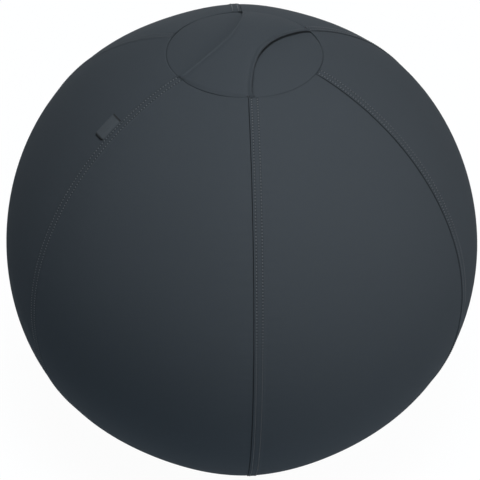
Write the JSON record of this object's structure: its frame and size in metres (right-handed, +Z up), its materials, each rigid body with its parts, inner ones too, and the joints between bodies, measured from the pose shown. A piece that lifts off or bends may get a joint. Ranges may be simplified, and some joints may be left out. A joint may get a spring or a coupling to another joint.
{
  "type": "sitting ball",
  "caption": "Sitting ball: an inflated ball in a tight charcoal gored fabric cover with topstitched laps, a carrying strap across a round crown piece, a rear zip and a weighted flat foot.",
  "frame": {"origin": "on the floor under the middle of the ball", "axes": "+Z up; the carrying strap runs along Y with its front end at -Y; +X to the right seen from the front"},
  "size_m": [0.6524, 0.6498, 0.6478],
  "materials": {
    "cover_fabric": "smooth tight knit, matt with a soft sheen, charcoal",
    "thread": "dark sewing thread",
    "woven_tab": "dark woven ribbon, left bare",
    "base_coat": "dark non-slip coated fabric",
    "ball_skin": "grey, slightly glossy ball skin",
    "valve_plastic": "pale moulded plastic",
    "ballast_sand": "packed sand",
    "zip_tape": "dark woven zip tape",
    "zip_plastic": "dark moulded plastic",
    "zip_metal": "dark coated metal"
  },
  "bodies": {
    "ball": {"cover_panel_1": "cover_fabric", "cover_panel_2": "cover_fabric", "cover_panel_3": "cover_fabric", "cover_panel_4": "cover_fabric", "cover_panel_5": "cover_fabric", "cover_panel_6": "cover_fabric", "label_tab": "woven_tab", "base_disc": "base_coat", "inner_ball": "ball_skin", "valve_seat": "valve_plastic", "valve_plug": "valve_plastic", "ballast": "ballast_sand", "zip_tape_left": "zip_tape", "zip_tape_right": "zip_tape", "zip_teeth_left": "zip_plastic", "zip_teeth_right": "zip_plastic", "zip_top_stops": "zip_metal", "zip_end_stop": "zip_plastic"},
    "seat": {"top_disc": "cover_fabric", "handle_front_end": "cover_fabric", "handle_rear_end": "cover_fabric", "bar_tacks": "thread"},
    "handle_grip": {"handle_grip": "cover_fabric"},
    "zip_slider": {"zip_slider": "zip_metal"},
    "zip_pull": {"zip_pull": "zip_metal"}
  },
  "joints": [
    {"name": "seat_press", "type": "slide", "parent": "ball", "child": "seat", "axis": [0, 0, -1], "range_m": [0, 0.06], "stiffness_N_per_m": 8000, "deforming": ["inner_ball"]},
    {"name": "handle_lift", "type": "slide", "parent": "seat", "child": "handle_grip", "axis": [0, 0, 1], "range_m": [0, 0.022]},
    {"name": "zip_travel", "type": "hinge", "parent": "ball", "child": "zip_slider", "pos_m": [0, 0, 0.32098], "axis": [0.866, 0.5, 0], "range_deg": [0, 45], "deforming": ["zip_teeth_left", "zip_teeth_right"]},
    {"name": "pull_swing", "type": "hinge", "parent": "zip_slider", "child": "zip_pull", "pos_m": [-0.10666, 0.18473, 0.07063], "axis": [0.866, 0.5, 0], "range_deg": [-46, 126]}
  ]
}
